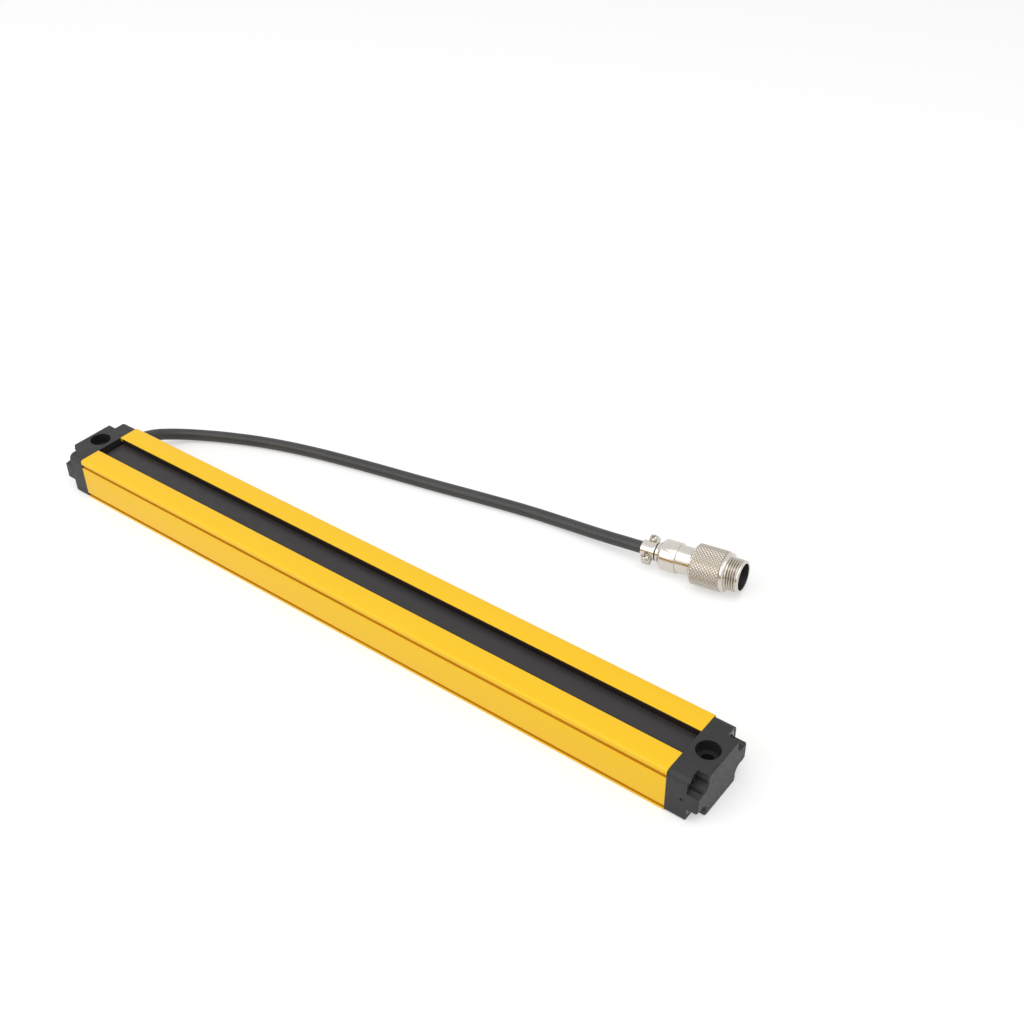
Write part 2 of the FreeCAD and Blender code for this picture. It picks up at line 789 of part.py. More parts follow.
def build():
    """Every node by name."""
    nodes = {
        "housing_profile": housing_profile(),
        "front_window": front_window(),
        "window_seal_near": window_seal(-1),
        "window_seal_far": window_seal(1),
        "end_cap_left": end_cap_left(),
        "end_cap_right": at_right_end(end_cap()),
        "end_gasket_left": at_left_end(end_gasket()),
        "end_gasket_right": at_right_end(end_gasket()),
        "cap_screws_left": at_left_end(cap_screws()),
        "cap_screws_right": at_right_end(cap_screws()),
        "circuit_board": circuit_board(),
        "board_header": board_header(),
        "optics_carrier": optics_carrier(),
        "cable_boot": cable_boot(),
        "lead_bundle": lead_bundle(),
        "cable": cable(),
        "clamp_base": clamp_base(),
        "clamp_saddle": clamp_saddle(),
        "clamp_screws": clamp_screws(),
        "cable_seal": cable_seal(),
        "connector_barrel": connector_barrel(),
        "coupling_shell": coupling_shell(),
        "connector_insulator": connector_insulator(),
    }
    for number, x in enumerate(beam_places(), start=1):
        nodes["lens_%d" % number] = lens(x)
        nodes["beam_diode_%d" % number] = beam_diode(x)
    for number in range(1, chip_count + 1):
        offset = number - (chip_count + 1) / 2
        nodes["drive_chip_%d" % number] = drive_chip(offset * chips_apart)
    for number, (y, z) in enumerate(pin_places(), start=1):
        nodes["contact_pin_%d" % number] = contact_pin(y, z)
    return nodes


os.makedirs("parts", exist_ok=True)
for name, shape in build().items():
    shape.exportStep(os.path.join("parts", name + ".step"))
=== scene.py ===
import bmesh
import bpy
import numpy as np
from mathutils import Matrix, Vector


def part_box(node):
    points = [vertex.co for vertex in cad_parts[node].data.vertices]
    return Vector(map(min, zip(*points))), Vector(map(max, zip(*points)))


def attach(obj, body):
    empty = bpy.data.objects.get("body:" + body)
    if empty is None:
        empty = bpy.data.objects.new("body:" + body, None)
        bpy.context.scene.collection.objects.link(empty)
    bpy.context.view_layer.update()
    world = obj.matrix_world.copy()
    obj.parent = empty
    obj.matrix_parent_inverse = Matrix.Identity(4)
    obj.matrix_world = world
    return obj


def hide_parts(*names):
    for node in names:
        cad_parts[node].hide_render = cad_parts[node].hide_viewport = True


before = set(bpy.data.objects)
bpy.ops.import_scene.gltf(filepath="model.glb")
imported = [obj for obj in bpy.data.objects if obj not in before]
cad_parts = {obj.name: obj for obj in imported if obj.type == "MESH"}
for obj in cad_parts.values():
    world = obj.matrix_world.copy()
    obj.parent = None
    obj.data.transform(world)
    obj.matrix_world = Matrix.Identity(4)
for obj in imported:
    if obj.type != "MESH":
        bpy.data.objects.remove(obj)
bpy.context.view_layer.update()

# ---------------------------------------------------------------- camera
# A plain view from the right and above. It sees the window side, the near
# grooved side and the right end cap, with the cable behind the bar.

mm = 0.001
azimuth, elevation, roll = np.radians([37.675, 37.215, -0.844])
camera_back = np.array([
    np.sin(azimuth) * np.cos(elevation),
    -np.cos(azimuth) * np.cos(elevation),
    np.sin(elevation),
])
level_right = np.array([np.cos(azimuth), np.sin(azimuth), 0.0])
level_up = np.cross(camera_back, level_right)
camera_right = np.cos(roll) * level_right + np.sin(roll) * level_up
camera_up = np.cos(roll) * level_up - np.sin(roll) * level_right

camera = bpy.data.objects.new("camera", bpy.data.cameras.new("camera"))
camera.data.sensor_width = 36.0
camera.data.lens = 47.834
camera.data.clip_start = 0.01
placement = np.eye(4)
placement[:3, 0] = camera_right
placement[:3, 1] = camera_up
placement[:3, 2] = camera_back
placement[:3, 3] = np.array([259.188, -250.96, 313.206]) * mm
camera.matrix_world = Matrix(placement.tolist())
bpy.context.scene.collection.objects.link(camera)
bpy.context.scene.camera = camera

# ---------------------------------------------------------------- cable
# A round 4.6 mm cable in a black polyurethane jacket. It leaves the left cap
# through a rubber boot, drops to the floor and rises again to its connector.

profile_high = np.array(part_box("housing_profile")[1])
half_length = profile_high[0]
half_width = profile_high[1]
profile_height = profile_high[2]
mid_height = profile_height / 2

cable_diameter = 4.6 * mm
cable_exit = np.array([-half_length - 5.5 * mm, half_width, mid_height])
boot_droop = np.radians(12.0)
boot_axis = np.array([0.0, np.cos(boot_droop), -np.sin(boot_droop)])
boot_start = cable_exit + np.array([0.0, 0.4 * mm, 0.0])

connector_heading, connector_tilt = np.radians([6.25, 3.5])
along = np.array([
    np.cos(connector_heading) * np.cos(connector_tilt),
    np.sin(connector_heading) * np.cos(connector_tilt),
    np.sin(connector_tilt),
])
across = np.array([-np.sin(connector_heading), np.cos(connector_heading), 0.0])
upward = np.cross(along, across)
shell_radius = 7.45 * mm
knurl_start = 20.9 * mm
connector_height = shell_radius * np.cos(connector_tilt) - knurl_start * np.sin(connector_tilt) + 0.05 * mm
connector_rear = np.array([cable_exit[0] + 199.7 * mm, half_width + 66.1 * mm, connector_height])

# Along the bar, away from the bar, and height, counted from the exit
floor_route = np.array([
    [0.9, 11.6, 6.0], [4.1, 17.9, 4.0], [9.9, 23.8, 2.7], [21.0, 30.2, 2.4],
    [37.0, 37.2, 2.4], [56.5, 43.3, 2.4], [80.5, 48.7, 2.4], [105.5, 53.6, 2.4],
    [128.5, 58.6, 2.4], [149.9, 63.0, 2.4], [167.5, 65.0, 2.8], [181.9, 65.2, 4.3],
]) * mm
route = np.concatenate([
    [boot_start + boot_axis * 2.7 * mm, boot_start + boot_axis * 5.9 * mm],
    floor_route + [cable_exit[0], half_width, 0.0],
    [connector_rear - along * 4.0 * mm, connector_rear + along * 8.9 * mm],
])

cable_curve = bpy.data.curves.new("cable_jacket", "CURVE")
cable_curve.dimensions = "3D"
cable_curve.bevel_depth = cable_diameter / 2
cable_curve.bevel_resolution = 7
cable_curve.resolution_u = 16
cable_curve.use_fill_caps = True
line = cable_curve.splines.new("NURBS")
line.points.add(len(route) - 1)
line.points.foreach_set("co", np.concatenate([route, np.ones((len(route), 1))], axis=1).ravel())
line.order_u = 3
line.use_endpoint_u = True
cable = bpy.data.objects.new("cable_jacket", cable_curve)
bpy.context.scene.collection.objects.link(cable)


def srgb(*levels):
    """Linear colour for 0 to 255 display levels: the inverse of the display's curve."""
    value = np.array(levels) / 255
    return tuple(np.where(value <= 0.04045, value / 12.92, ((value + 0.055) / 1.055) ** 2.4))


def finish(name, colour, roughness, metallic=0.0):
    """A material with a plain shader of that colour, its node tree and the shader."""
    material = bpy.data.materials.new(name)
    material.use_nodes = True
    tree = material.node_tree
    shader = tree.nodes["Principled BSDF"]
    shader.inputs["Base Color"].default_value = (*colour, 1.0)
    shader.inputs["Roughness"].default_value = roughness
    shader.inputs["Metallic"].default_value = metallic
    return material, tree, shader


def noise(tree, scale, detail=3.0, stretch=(1, 1, 1)):
    """A noise pattern on the piece's own coordinates, stretched by a factor along each axis."""
    place = tree.nodes.new("ShaderNodeTexCoord")
    mapping = tree.nodes.new("ShaderNodeMapping")
    mapping.inputs["Scale"].default_value = stretch
    pattern = tree.nodes.new("ShaderNodeTexNoise")
    pattern.inputs["Scale"].default_value = scale
    pattern.inputs["Detail"].default_value = detail
    tree.links.new(place.outputs["Object"], mapping.inputs["Vector"])
    tree.links.new(mapping.outputs["Vector"], pattern.inputs["Vector"])
    return pattern.outputs["Fac"]


def vary(tree, pattern, socket, low, high):
    """Drives a number on the shader between low and high by a pattern."""
    spread = tree.nodes.new("ShaderNodeMapRange")
    spread.inputs["From Min"].default_value = 0.3
    spread.inputs["From Max"].default_value = 0.7
    spread.inputs["To Min"].default_value = low
    spread.inputs["To Max"].default_value = high
    tree.links.new(pattern, spread.inputs["Value"])
    tree.links.new(spread.outputs["Result"], socket)


def tint(tree, pattern, socket, first, second):
    """Drives a colour on the shader between two colours by a pattern."""
    ramp = tree.nodes.new("ShaderNodeValToRGB")
    ramp.color_ramp.elements[0].position = 0.3
    ramp.color_ramp.elements[1].position = 0.7
    ramp.color_ramp.elements[0].color = (*first, 1.0)
    ramp.color_ramp.elements[1].color = (*second, 1.0)
    tree.links.new(pattern, ramp.inputs["Fac"])
    tree.links.new(ramp.outputs["Color"], socket)


def grain(tree, shader, pattern, distance, strength=1.0):
    """Raises the surface by a pattern, up to that distance in metres."""
    bump = tree.nodes.new("ShaderNodeBump")
    bump.inputs["Strength"].default_value = strength
    bump.inputs["Distance"].default_value = distance
    tree.links.new(pattern, bump.inputs["Height"])
    tree.links.new(bump.outputs["Normal"], shader.inputs["Normal"])


jacket, jacket_tree, jacket_shader = finish("cable_jacket", srgb(48, 47, 48), 0.42)
tint(jacket_tree, noise(jacket_tree, 90, 4), jacket_shader.inputs["Base Color"], srgb(43, 42, 43), srgb(56, 55, 56))
vary(jacket_tree, noise(jacket_tree, 700, 2), jacket_shader.inputs["Roughness"], 0.38, 0.5)
grain(jacket_tree, jacket_shader, noise(jacket_tree, 1600, 2), 0.02 * mm)
cable.data.materials.append(jacket)
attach(cable, "root")
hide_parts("cable")

# ---------------------------------------------------------------- boot
# A moulded rubber boot. Its plug fills the hole in the left cap's side, a
# flange lies on the cap, and a short neck leads the cable down.


def skin(grid, ring_rows=False, ring_columns=False):
    """Points and quads of a grid of points; its rows or columns may close into rings."""
    count = grid.shape[0] * grid.shape[1]
    number = np.arange(count).reshape(grid.shape[:2])
    if ring_rows:
        number = np.concatenate([number, number[:1]])
    if ring_columns:
        number = np.concatenate([number, number[:, :1]], axis=1)
    corners = [number[:-1, :-1], number[1:, :-1], number[1:, 1:], number[:-1, 1:]]
    return grid.reshape(-1, 3), np.stack(corners, axis=-1).reshape(-1, 4).tolist()


def piece(name, shells, material, sharp=35.0):
    """One piece from (points, faces) shells: joined, welded, faced outwards and smooth below an angle."""
    points, faces, first = [], [], 0
    for shell_points, shell_faces in shells:
        points.append(shell_points)
        faces += [[first + corner for corner in face] for face in shell_faces]
        first += len(shell_points)
    mesh = bpy.data.meshes.new(name)
    mesh.from_pydata(np.concatenate(points).tolist(), [], faces)
    shape = bmesh.new()
    shape.from_mesh(mesh)
    bmesh.ops.remove_doubles(shape, verts=shape.verts, dist=1e-7)
    bmesh.ops.recalc_face_normals(shape, faces=shape.faces)
    shape.to_mesh(mesh)
    shape.free()
    mesh.shade_smooth()
    mesh.set_sharp_from_angle(angle=np.radians(sharp))
    mesh.materials.append(material)
    built = bpy.data.objects.new(name, mesh)
    bpy.context.scene.collection.objects.link(built)
    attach(built, "root")
    return built


def rounded(corners, steps=4):
    """Closed outline through (u, v, radius) corners, each replaced by the arc tangent to both sides."""
    corners = np.array(corners, dtype=float)
    spots, radii = corners[:, :2], corners[:, 2]
    to_last = np.roll(spots, 1, axis=0) - spots
    to_next = np.roll(spots, -1, axis=0) - spots
    last_length = np.linalg.norm(to_last, axis=1)
    next_length = np.linalg.norm(to_next, axis=1)
    to_last = to_last / last_length[:, None]
    to_next = to_next / next_length[:, None]
    half = np.arccos(np.clip((to_last * to_next).sum(axis=1), -1, 1)) / 2
    reach = np.minimum(radii / np.tan(half), 0.49 * np.minimum(last_length, next_length))
    radius = reach * np.tan(half)
    inward = to_last + to_next
    inward = inward / np.maximum(np.linalg.norm(inward, axis=1), 1e-12)[:, None]
    centre = spots + inward * (radius / np.sin(half))[:, None]
    start = spots + to_last * reach[:, None] - centre
    end = spots + to_next * reach[:, None] - centre
    turn = np.pi - 2 * half
    share = np.linspace(0, 1, steps + 1)[None, :, None]
    swing = np.maximum(turn, 1e-9)[:, None, None]
    arc = (np.sin((1 - share) * swing) * start[:, None] + np.sin(share * swing) * end[:, None]) / np.sin(swing)
    return (centre[:, None] + arc).reshape(-1, 2)


def turned(profile, origin, axis, side, segments=96):
    """Surface of revolution: (station, radius) points swung round an axis through the origin."""
    third = np.cross(axis, side)
    angle = np.linspace(0, 2 * np.pi, segments, endpoint=False)
    station = profile[:, 0][:, None, None] * axis
    reach = np.cos(angle)[:, None] * side + np.sin(angle)[:, None] * third
    return origin + station + profile[:, 1][:, None, None] * reach


rubber, rubber_tree, rubber_shader = finish("boot_rubber", srgb(44, 43, 44), 0.6)
tint(rubber_tree, noise(rubber_tree, 240, 3), rubber_shader.inputs["Base Color"], srgb(38, 37, 38), srgb(52, 51, 52))
grain(rubber_tree, rubber_shader, noise(rubber_tree, 2200, 2), 0.03 * mm)

sideways = np.array([1.0, 0.0, 0.0])
plug_profile = rounded([
    (-4.8, 0.0, 0), (-4.8, 2.35, 0.2), (0.0, 2.35, 0), (0.0, 3.3, 0.1), (1.0, 3.3, 0.3), (1.0, 0.0, 0),
]) * mm
neck_profile = rounded([(0.0, 0.0, 0), (0.0, 2.9, 0), (2.7, 2.6, 0.15), (2.7, 0.0, 0)]) * mm
boot = piece("boot_moulding", [
    skin(turned(plug_profile, cable_exit, np.array([0.0, 1.0, 0.0]), sideways, 48), True, True),
    skin(turned(neck_profile, boot_start, boot_axis, sideways, 48), True, True),
], rubber)
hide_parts("cable_boot")

# ---------------------------------------------------------------- housing
# An extruded aluminium profile with a satin yellow powder coat. Two grooves run
# along each side, and a slot on top shows the window between two lips.


def extruded(outline, start, end):
    """A closed (y, z) outline carried along the bar from start to end, with flat end faces."""
    ring = len(outline)
    grid = np.empty((2, ring, 3))
    grid[:, :, 0] = np.array([start, end])[:, None]
    grid[:, :, 1:] = outline
    points, faces = skin(grid, False, True)
    return points, faces + [list(range(ring)), list(range(ring, 2 * ring))]


def both_sides(half):
    """The other half of an outline given for y above zero, added in mirror."""
    return half + [(-y, z, radius) for y, z, radius in reversed(half)]


side_y = half_width / mm
top_z = profile_height / mm
groove_floor = side_y - 0.7
profile_outline = rounded(both_sides([
    (side_y, 0, 0.45), (side_y, 0.9, 0.12), (groove_floor, 0.9, 0.1), (groove_floor, 2.1, 0.1), (side_y, 2.1, 0.15),
    (side_y, 13.8, 0.15), (groove_floor, 13.8, 0.1), (groove_floor, 15.2, 0.1), (side_y, 15.2, 0.12),
    (side_y, top_z, 1.85), (5.35, top_z, 0.18), (5.35, 15.5, 0.1), (7.1, 15.5, 0.1), (7.1, 13.5, 0.1),
    (5.9, 13.5, 0.1), (5.9, 12.2, 0.1), (8.7, 12.2, 0.1), (8.7, 15.5, 0.1), (12.0, 15.5, 0.3), (12.0, 1.8, 0.3),
]), 6) * mm

coat, coat_tree, coat_shader = finish("yellow_coat", srgb(255, 204, 26), 0.4)
tint(
    coat_tree, noise(coat_tree, 18, 2, (0.25, 1, 1)), coat_shader.inputs["Base Color"],
    srgb(255, 202, 23), srgb(255, 206, 29),
)
coat_shader.inputs["Specular IOR Level"].default_value = 0.35
vary(coat_tree, noise(coat_tree, 500, 3), coat_shader.inputs["Roughness"], 0.34, 0.44)
grain(coat_tree, coat_shader, noise(coat_tree, 900, 2), 0.012 * mm)

# The grooves' faces get a darker, browner and duller yellow than the outside: painted shade in the grooves
painted_groove_shade_coat, painted_groove_shade_tree, painted_groove_shade_shader = finish("yellow_coat_painted_groove_shade", srgb(206, 142, 14), 0.55)
tint(
    painted_groove_shade_tree, noise(painted_groove_shade_tree, 40, 3, (0.25, 1, 1)), painted_groove_shade_shader.inputs["Base Color"],
    srgb(198, 134, 12), srgb(214, 150, 16),
)
painted_groove_shade_shader.inputs["Specular IOR Level"].default_value = 0.2

housing = piece("profile_coated", [extruded(profile_outline, -half_length, half_length)], coat)
housing.data.materials.append(painted_groove_shade_coat)
middles = np.empty(3 * len(housing.data.polygons))
housing.data.polygons.foreach_get("center", middles)
from_middle, height = np.abs(middles[1::3]) / mm, middles[2::3] / mm
lower_groove = (height > 0.8) & (height < 2.2)
upper_groove = (height > 13.7) & (height < 15.3)
# Faces inside the grooves take the darker coat, which is painted shade
painted_shade_in_groove = (from_middle > groove_floor - 0.1) & (from_middle < side_y - 0.15) & (lower_groove | upper_groove)
housing.data.polygons.foreach_set("material_index", painted_shade_in_groove.astype(np.int32))
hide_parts("housing_profile")

# ---------------------------------------------------------------- window
# A matt black acrylic strip that lets infrared light through. It lies on the
# profile's ledges, and a rubber strip lines the slot over each of its edges.
# The strips' dark brown up the slot walls is painted shade.

window_low, window_high = (np.array(corner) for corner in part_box("front_window"))
pane_outline = rounded([
    (window_low[1], window_low[2], 0.12 * mm), (window_high[1], window_low[2], 0.12 * mm),
    (window_high[1], window_high[2], 0.12 * mm), (window_low[1], window_high[2], 0.12 * mm),
])
acrylic, acrylic_tree, acrylic_shader = finish("window_acrylic", srgb(46, 43, 43), 0.45)
tint(
    acrylic_tree, noise(acrylic_tree, 14, 2), acrylic_shader.inputs["Base Color"],
    srgb(44, 42, 41), srgb(49, 46, 46),
)
acrylic_shader.inputs["Specular IOR Level"].default_value = 0.35
vary(acrylic_tree, noise(acrylic_tree, 420, 2), acrylic_shader.inputs["Roughness"], 0.4, 0.52)
grain(acrylic_tree, acrylic_shader, noise(acrylic_tree, 3000, 2), 0.01 * mm)
pane = piece("window_strip", [extruded(pane_outline, window_low[0], window_high[0])], acrylic)
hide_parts("front_window")

# The seal's dark brown, carried up the slot walls, is painted shade in the slot
seal_and_painted_slot_shade, seal_and_painted_slot_shade_tree, seal_and_painted_slot_shade_shader = finish("seal_rubber", srgb(32, 24, 20), 0.6)
tint(
    seal_and_painted_slot_shade_tree, noise(seal_and_painted_slot_shade_tree, 60, 3, (0.3, 1, 1)), seal_and_painted_slot_shade_shader.inputs["Base Color"],
    srgb(28, 20, 16), srgb(37, 28, 24),
)
seal_and_painted_slot_shade_shader.inputs["Specular IOR Level"].default_value = 0.2
grain(seal_and_painted_slot_shade_tree, seal_and_painted_slot_shade_shader, noise(seal_and_painted_slot_shade_tree, 2400, 2), 0.02 * mm)
for side, node in ((-1, "window_seal_near"), (1, "window_seal_far")):
    strip_outline = rounded([
        (side * 5.0, 15.0, 0.05), (side * 7.0, 15.0, 0.05), (side * 7.0, 15.5, 0.05),
        (side * 5.35, 15.5, 0.03), (side * 5.35, 17.0, 0.03), (side * 5.0, 17.0, 0.08),
    ]) * mm
    strip = piece(node + "_strip", [extruded(strip_outline, window_low[0], window_high[0])], seal_and_painted_slot_shade)
    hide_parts(node)

# ---------------------------------------------------------------- end caps
# Glass-filled nylon mouldings, dark grey and finely textured. The same cap
# closes both ends; the left one is drilled for the cable.


def softened(node, name, material, width, segments=3):
    """A copy of a CAD piece, welded into flat faces, with its edges rounded to a width."""
    shape = bmesh.new()
    shape.from_mesh(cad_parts[node].data)
    shape.transform(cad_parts[node].matrix_world)
    bmesh.ops.remove_doubles(shape, verts=shape.verts, dist=2e-6)
    bmesh.ops.dissolve_limit(shape, angle_limit=np.radians(1.5), verts=shape.verts, edges=shape.edges)
    mesh = bpy.data.meshes.new(name)
    for face in shape.faces:
        face.smooth = True
    shape.to_mesh(mesh)
    shape.free()
    mesh.materials.clear()
    mesh.materials.append(material)
    copy = bpy.data.objects.new(name, mesh)
    bpy.context.scene.collection.objects.link(copy)
    edge = copy.modifiers.new("rounded_edges", "BEVEL")
    edge.width = width
    edge.segments = segments
    edge.limit_method = "ANGLE"
    edge.angle_limit = np.radians(32)
    edge.use_clamp_overlap = True
    even = copy.modifiers.new("even_faces", "WEIGHTED_NORMAL")
    even.keep_sharp = True
    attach(copy, "root")
    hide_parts(node)
    return copy


nylon, nylon_tree, nylon_shader = finish("cap_nylon", srgb(36, 36, 37), 0.5)
tint(nylon_tree, noise(nylon_tree, 70, 4), nylon_shader.inputs["Base Color"], srgb(30, 30, 31), srgb(40, 40, 41))
nylon_shader.inputs["Specular IOR Level"].default_value = 0.42
vary(nylon_tree, noise(nylon_tree, 900, 3), nylon_shader.inputs["Roughness"], 0.42, 0.58)
grain(nylon_tree, nylon_shader, noise(nylon_tree, 2600, 3), 0.03 * mm)
for node in ("end_cap_left", "end_cap_right"):
    cap = softened(node, node + "_moulding", nylon, 0.12 * mm)

# ---------------------------------------------------------------- cap screws
# Low head socket screws, four to a cap, in blackened steel. They are driven
# into the profile's channels, and their heads are sunk in the cap's corner pockets.

steel, steel_tree, steel_shader = finish("blackened_steel", srgb(70, 69, 68), 0.3, 1.0)
vary(steel_tree, noise(steel_tree, 1500, 3), steel_shader.inputs["Roughness"], 0.24, 0.42)
tint(steel_tree, noise(steel_tree, 600, 3), steel_shader.inputs["Base Color"], srgb(56, 55, 54), srgb(128, 126, 123))


def socket_screw(origin, axis, side, seat, head_radius, head_height, shank_radius, shank_length, flats):
    """A socket screw along an axis: a finely ribbed round head with a six-sided socket, and its shank."""
    angle = np.linspace(0, 2 * np.pi, 144, endpoint=False)
    hexagon = 1 / np.cos((angle + np.pi / 6) % (np.pi / 3) - np.pi / 6)
    face = seat + head_height
    socket = flats / 2
    # station, radius, how six-sided the row is, how much of the ribs it has
    rows = np.array([
        (seat, 0.0, 0, 0), (seat, head_radius * 0.98, 0, 0), (seat + 0.08 * mm, head_radius, 0, 1),
        (face - 0.3 * mm, head_radius, 0, 1), (face - 0.12 * mm, head_radius - 0.05 * mm, 0, 0.3),
        (face, head_radius - 0.2 * mm, 0, 0), (face, socket * 1.25, 0, 0), (face, socket * 1.04, 1, 0),
        (face - 0.06 * mm, socket, 1, 0), (face - 1.1 * mm, socket, 1, 0), (face - 1.2 * mm, socket * 0.9, 1, 0),
        (face - 1.2 * mm, 0.0, 1, 0),
    ])
    radius = rows[:, 1:2] * (1 + rows[:, 2:3] * (hexagon - 1))
    radius = radius - rows[:, 3:4] * 0.06 * mm * (0.5 + 0.5 * np.cos(48 * angle))
    third = np.cross(axis, side)
    reach = np.cos(angle)[:, None] * side + np.sin(angle)[:, None] * third
    head = origin + rows[:, 0][:, None, None] * axis + radius[:, :, None] * reach
    shank = np.array([
        (seat - shank_length, 0), (seat - shank_length, shank_radius * 0.7),
        (seat - shank_length + 0.5 * mm, shank_radius), (seat + 0.05 * mm, shank_radius), (seat + 0.05 * mm, 0),
    ])
    return [skin(head, False, True), skin(turned(shank, origin, axis, side, 32), False, True)]


screw_y, screw_inset_z = 10.9 * mm, 3.0 * mm
for end, node in ((-1, "cap_screws_left"), (1, "cap_screws_right")):
    shells = []
    for turn, (y, z) in enumerate([
        (-screw_y, screw_inset_z), (-screw_y, profile_height - screw_inset_z),
        (screw_y, screw_inset_z), (screw_y, profile_height - screw_inset_z),
    ]):
        origin = np.array([end * half_length, y, z])
        axis = np.array([float(end), 0.0, 0.0])
        twist = 0.4 + 1.3 * turn
        clocking = np.array([0.0, np.cos(twist), np.sin(twist)])
        shells += socket_screw(
            origin, axis, clocking, seat=5.0 * mm, head_radius=2.25 * mm, head_height=2.0 * mm,
            shank_radius=1.2 * mm, shank_length=14.0 * mm, flats=2.0 * mm,
        )
    screws = piece(node + "_steel", shells, steel, 30.0)
    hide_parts(node)

# ---------------------------------------------------------------- cable clamp
# The connector's clamp is nickel plated brass: a base with two ears and a
# ring, and a saddle that two small screws draw down on the cable.

nickel, nickel_tree, nickel_shader = finish("nickel_plate", srgb(208, 202, 194), 0.16, 1.0)
vary(nickel_tree, noise(nickel_tree, 380, 3), nickel_shader.inputs["Roughness"], 0.12, 0.22)
tint(
    nickel_tree, noise(nickel_tree, 60, 3), nickel_shader.inputs["Base Color"],
    srgb(203, 197, 188), srgb(213, 208, 200),
)
for node in ("clamp_base", "clamp_saddle"):
    half_clamp = softened(node, node + "_plated", nickel, 0.12 * mm, 2)

clamp_turn = np.radians(29.0)
clamp_out = -np.sin(clamp_turn) * across + np.cos(clamp_turn) * upward
clamp_side = np.cos(clamp_turn) * across + np.sin(clamp_turn) * upward


def cross_screw(origin, axis, side, head_radius, head_height, shank_radius, shank_length):
    """A pan head with a cross recess: a domed disc sunk where a point is near either arm of the cross."""
    angle = np.linspace(0, 2 * np.pi, 96, endpoint=False)
    share = np.linspace(0, 1, 25)[:, None]
    u, v = share * np.cos(angle) * head_radius, share * np.sin(angle) * head_radius
    dome = head_height * (1 - 0.55 * share ** 4)
    arm = np.minimum(np.abs(u), np.abs(v))
    inside = np.clip((0.2 * mm - arm) / (0.1 * mm), 0, 1) * np.clip((0.68 - share) / 0.08, 0, 1)
    height = dome - inside * 0.6 * mm
    third = np.cross(axis, side)
    top = origin + u[:, :, None] * side + v[:, :, None] * third + height[:, :, None] * axis
    skirt = np.array([
        (head_height * 0.45, head_radius), (0.05 * mm, head_radius), (0.0, head_radius * 0.96), (0.0, 0.0),
    ])
    shank = np.array([(-shank_length, 0), (-shank_length, shank_radius), (0.02 * mm, shank_radius), (0.02 * mm, 0)])
    return [
        skin(top, False, True),
        skin(turned(skirt, origin, axis, side, 96), False, True),
        skin(turned(shank, origin, axis, side, 24), False, True),
    ]


plated, plated_tree, plated_shader = finish("screw_nickel", srgb(190, 184, 174), 0.22, 1.0)
vary(plated_tree, noise(plated_tree, 900, 3), plated_shader.inputs["Roughness"], 0.16, 0.34)
shells = []
for side, twist in ((-1, 0.5), (1, 1.1)):
    head_seat = connector_rear + along * 2.8 * mm + clamp_side * side * 3.9 * mm + clamp_out * 1.35 * mm
    clocking = np.cos(twist) * along + np.sin(twist) * clamp_side
    shells += cross_screw(
        head_seat, clamp_out, clocking, head_radius=1.5 * mm, head_height=1.2 * mm,
        shank_radius=0.8 * mm, shank_length=3.5 * mm,
    )
clamp_screws = piece("clamp_screws_plated", shells, plated, 40.0)
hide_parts("clamp_screws")

# ---------------------------------------------------------------- seal ring
# A black rubber ring squeezed between the clamp's ring and the barrel keeps
# water out of the connector.

ring_profile = rounded([(5.4, 2.8, 0.03), (5.4, 3.3, 0.12), (5.9, 3.3, 0.12), (5.9, 2.8, 0.03)]) * mm
ring_rubber, ring_tree, ring_shader = finish("ring_rubber", srgb(26, 24, 22), 0.5)
vary(ring_tree, noise(ring_tree, 900, 2), ring_shader.inputs["Roughness"], 0.42, 0.6)
seal_ring = piece("seal_ring", [skin(turned(ring_profile, connector_rear, along, across), True, True)], ring_rubber)
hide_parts("cable_seal")

# ---------------------------------------------------------------- barrel
# The connector's rear barrel is turned in brass and nickel plated. It is
# stepped down where the shell slides over it, and bored for the cable.

barrel_profile = rounded([
    (5.9, 2.4, 0.05), (5.9, 3.65, 0.15), (7.3, 3.65, 0.08), (7.3, 4.6, 0.12), (8.4, 5.7, 0.7), (14.35, 5.7, 0.2),
    (14.35, 5.1, 0.08), (25.0, 5.1, 0.1), (25.0, 3.2, 0.1), (9.9, 3.2, 0.1), (9.9, 1.9, 0.1), (8.9, 1.9, 0.05),
    (8.9, 2.4, 0.02),
]) * mm
barrel_skin = skin(turned(barrel_profile, connector_rear, along, across, 128), True, True)
barrel = piece("barrel_plated", [barrel_skin], nickel)
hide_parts("connector_barrel")

# ---------------------------------------------------------------- shell
# The front shell is nickel plated brass too, with a diamond knurl to grip it
# by and a fine 12 mm thread round its open mouth.

knurl_end, thread_start, thread_end = 31.6 * mm, 33.5 * mm, 37.9 * mm
knurl_teeth, knurl_pitch, knurl_depth = 36, 1.35 * mm, 0.3 * mm
thread_radius, thread_pitch, thread_depth = 6.0 * mm, 0.9 * mm, 0.42 * mm


def peak(turns):
    """Triangle wave: 1 at whole turns, 0 half way between."""
    return np.abs(2 * (turns % 1.0) - 1)


def knurled(station, angle):
    """Knurl depth: two crossed families of grooves leave diamonds, faded out at the knurl's ends."""
    one = peak(knurl_teeth * angle / (2 * np.pi) + station / knurl_pitch)
    other = peak(knurl_teeth * angle / (2 * np.pi) - station / knurl_pitch)
    fade = np.clip((station - knurl_start) / (0.3 * mm), 0, 1) * np.clip((knurl_end - station) / (0.15 * mm), 0, 1)
    return knurl_depth * (1 - np.clip(1.15 * np.minimum(one, other), 0, 1)) * fade


def threaded(station, angle):
    """Thread depth: one helical groove, a triangle wave of station less a pitch a turn, run out at both ends."""
    wave = np.clip(1.25 * peak(station / thread_pitch - angle / (2 * np.pi)) - 0.1, 0, 1)
    fade = np.clip((station - thread_start) / (0.3 * mm), 0, 1) * np.clip((thread_end - station) / (0.5 * mm), 0, 1)
    return thread_depth * (1 - wave) * fade


